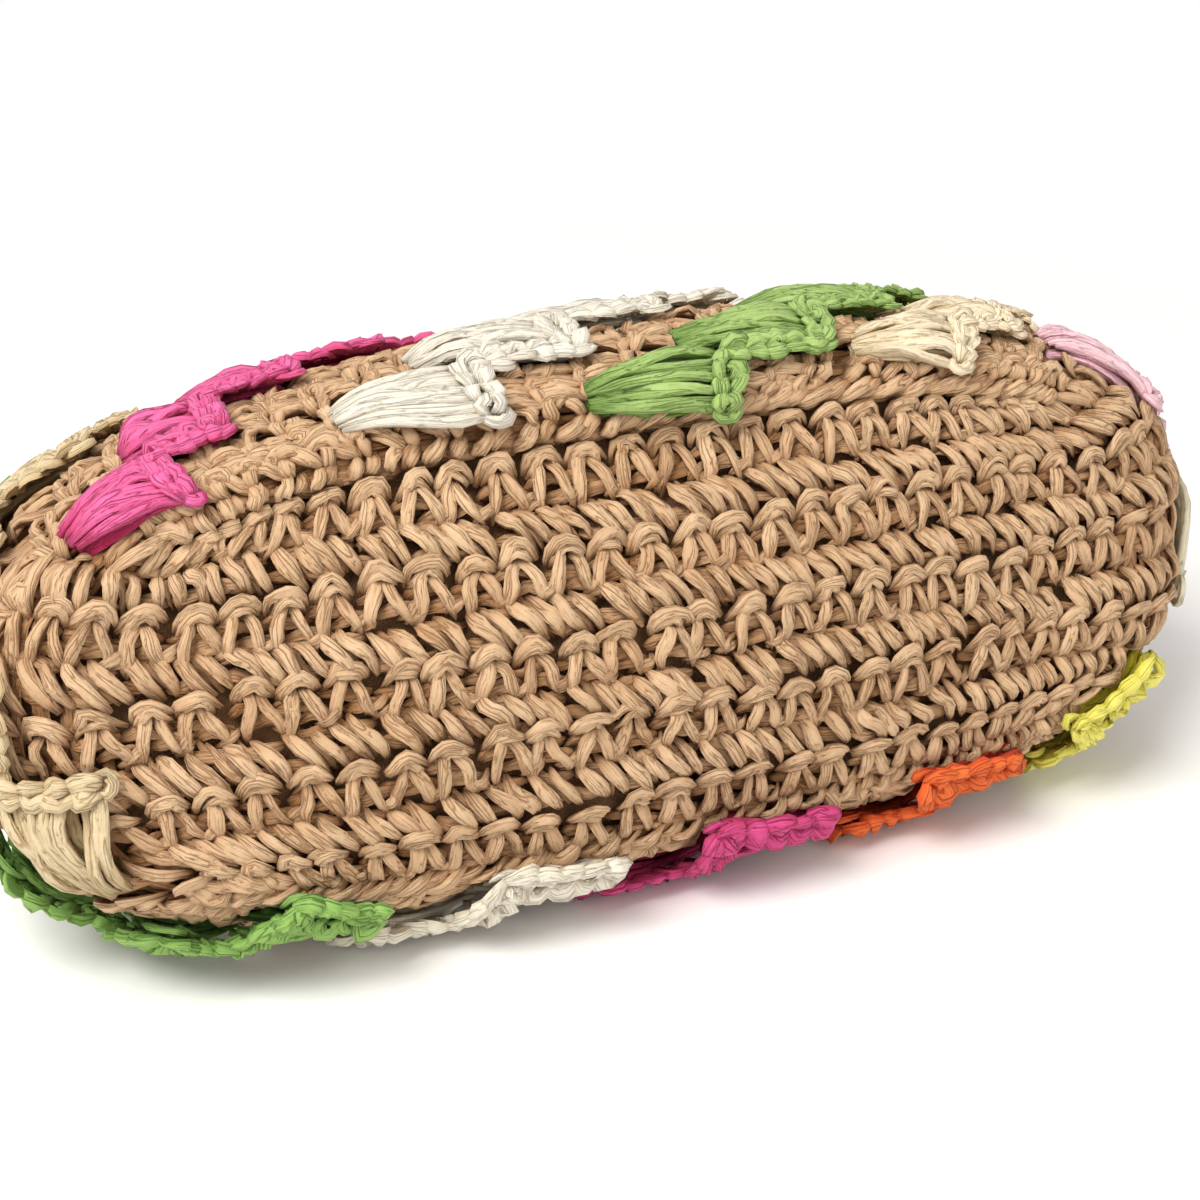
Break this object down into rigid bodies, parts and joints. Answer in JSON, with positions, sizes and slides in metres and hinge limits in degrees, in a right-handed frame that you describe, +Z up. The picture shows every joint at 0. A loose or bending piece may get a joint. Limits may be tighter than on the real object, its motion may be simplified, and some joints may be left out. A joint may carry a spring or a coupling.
{
  "type": "crocheted straw handbag",
  "caption": "Soft crocheted paper-straw handbag lying on its back, brown, with coloured shell-stitch strips swirling up its sides, a cloth lining and looped handles",
  "frame": {"origin": "middle of the bounding box, on the surface that the bag lies on", "axes": "+X along the base's length, +Y from the base to the mouth, +Z up from the surface"},
  "size_m": [0.325, 0.3284, 0.1305],
  "materials": {
    "brown_straw": "matte creased paper straw",
    "lining_cloth": "matte woven cloth",
    "pink_straw": "matte creased paper straw",
    "white_straw": "matte creased paper straw",
    "green_straw": "matte creased paper straw",
    "beige_straw": "matte creased paper straw",
    "pale_pink_straw": "matte creased paper straw",
    "ivory_straw": "matte creased paper straw",
    "yellow_straw": "matte creased paper straw",
    "orange_straw": "matte creased paper straw",
    "magenta_straw": "matte creased paper straw",
    "cream_straw": "matte creased paper straw",
    "leaf_green_straw": "matte creased paper straw",
    "straw_beige_straw": "matte creased paper straw"
  },
  "bodies": {
    "root": {"crocheted_body": "brown_straw", "lining": "lining_cloth", "front_handle": "brown_straw", "back_handle": "brown_straw", "pink_shell_strip": "pink_straw", "white_shell_strip": "white_straw", "green_shell_strip": "green_straw", "beige_shell_strip": "beige_straw", "pale_pink_shell_strip": "pale_pink_straw", "ivory_shell_strip": "ivory_straw", "yellow_shell_strip": "yellow_straw", "orange_shell_strip": "orange_straw", "magenta_shell_strip": "magenta_straw", "cream_shell_strip": "cream_straw", "leaf_green_shell_strip": "leaf_green_straw", "straw_beige_shell_strip": "straw_beige_straw"}
  },
  "joints": []
}
